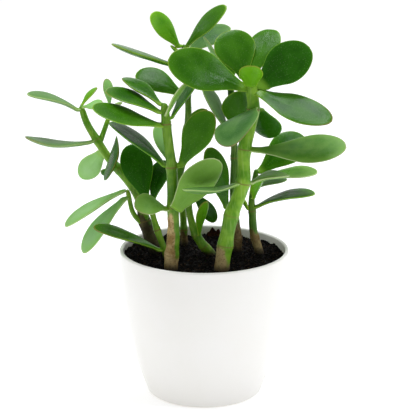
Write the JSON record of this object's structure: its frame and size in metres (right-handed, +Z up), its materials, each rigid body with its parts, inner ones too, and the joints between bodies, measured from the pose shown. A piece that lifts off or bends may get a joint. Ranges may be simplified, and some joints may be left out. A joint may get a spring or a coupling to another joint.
{
  "type": "potted jade plant",
  "caption": "Jade plant with thick paddle-shaped leaves on upright jointed stems, rooted in soil in a plain white round pot that stands on its flat base.",
  "frame": {"origin": "centre of the flat underside of the pot", "axes": "+Z up along the pot's axis and the plant's height, -Y towards the side with the two thick front stems, +X to the right seen from that side"},
  "size_m": [0.2594, 0.1451, 0.3234],
  "materials": {
    "ceramic": "satin white glaze",
    "soil": "rough, dark, crumbly",
    "stem": "green skin, tan bark near the soil",
    "leaf": "thick waxy skin, satin to glossy"
  },
  "bodies": {
    "root": {"pot": "ceramic", "soil": "soil", "front_right_stem": "stem", "front_left_stem": "stem", "left_stem": "stem", "left_branch_stem": "stem", "left_twig_stem": "stem", "short_stem": "stem", "curved_stem": "stem", "right_stem": "stem", "inner_stem": "stem", "back_stem": "stem", "back_left_stem": "stem", "front_right_leaf_1": "leaf", "front_right_leaf_2": "leaf", "front_right_leaf_3": "leaf", "front_right_leaf_4": "leaf", "front_right_leaf_5": "leaf", "front_right_leaf_6": "leaf", "front_right_leaf_7": "leaf", "front_right_leaf_8": "leaf", "front_right_leaf_9": "leaf", "front_right_leaf_10": "leaf", "front_right_leaf_11": "leaf", "front_left_leaf_1": "leaf", "front_left_leaf_2": "leaf", "front_left_leaf_3": "leaf", "front_left_leaf_4": "leaf", "front_left_leaf_5": "leaf", "front_left_leaf_6": "leaf", "front_left_leaf_7": "leaf", "front_left_leaf_8": "leaf", "front_left_leaf_9": "leaf", "left_leaf_1": "leaf", "left_leaf_2": "leaf", "left_leaf_3": "leaf", "left_leaf_4": "leaf", "left_leaf_5": "leaf", "left_branch_leaf_1": "leaf", "left_twig_leaf_1": "leaf", "left_twig_leaf_2": "leaf", "short_leaf_1": "leaf", "short_leaf_2": "leaf", "short_leaf_3": "leaf", "right_leaf_1": "leaf", "right_leaf_2": "leaf", "right_leaf_3": "leaf", "right_leaf_4": "leaf", "inner_leaf_1": "leaf", "inner_leaf_2": "leaf", "inner_leaf_3": "leaf", "inner_leaf_4": "leaf", "inner_leaf_5": "leaf", "back_leaf_1": "leaf", "back_leaf_2": "leaf", "back_leaf_3": "leaf", "back_leaf_4": "leaf", "back_leaf_5": "leaf", "back_left_leaf_1": "leaf", "back_left_leaf_2": "leaf"}
  },
  "joints": []
}
